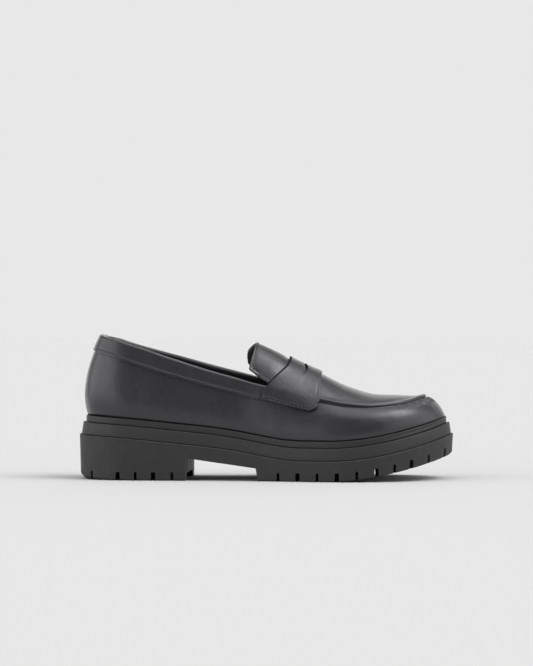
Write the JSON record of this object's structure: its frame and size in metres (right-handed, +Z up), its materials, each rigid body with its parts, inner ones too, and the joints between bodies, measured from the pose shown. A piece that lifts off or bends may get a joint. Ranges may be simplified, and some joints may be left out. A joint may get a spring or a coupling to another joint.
{
  "type": "lug sole loafer",
  "caption": "Right-foot penny loafer: hollow leather upper with apron seam, tongue, slotted saddle strap and collar band on a thick lugged rubber sole with block heel and arch gap.",
  "frame": {"origin": "on the floor, under the middle of the outsole's box", "axes": "+X towards the toe, +Y towards the inner (medial) side of the foot, +Z up"},
  "size_m": [0.279, 0.1032, 0.1078],
  "materials": {
    "outsole_rubber": "matte moulded",
    "midsole_rubber": "matte moulded",
    "welt_rubber": "satin moulded",
    "insole_leather": "matte",
    "upper_leather": "smooth, soft gloss",
    "tongue_leather": "smooth, soft gloss",
    "strap_leather": "smooth, soft gloss",
    "collar_leather": "smooth, soft gloss"
  },
  "bodies": {
    "root": {"outsole": "outsole_rubber", "midsole": "midsole_rubber", "welt": "welt_rubber", "insole": "insole_leather", "upper": "upper_leather", "tongue": "tongue_leather", "saddle_strap": "strap_leather", "collar_band": "collar_leather"}
  },
  "joints": []
}
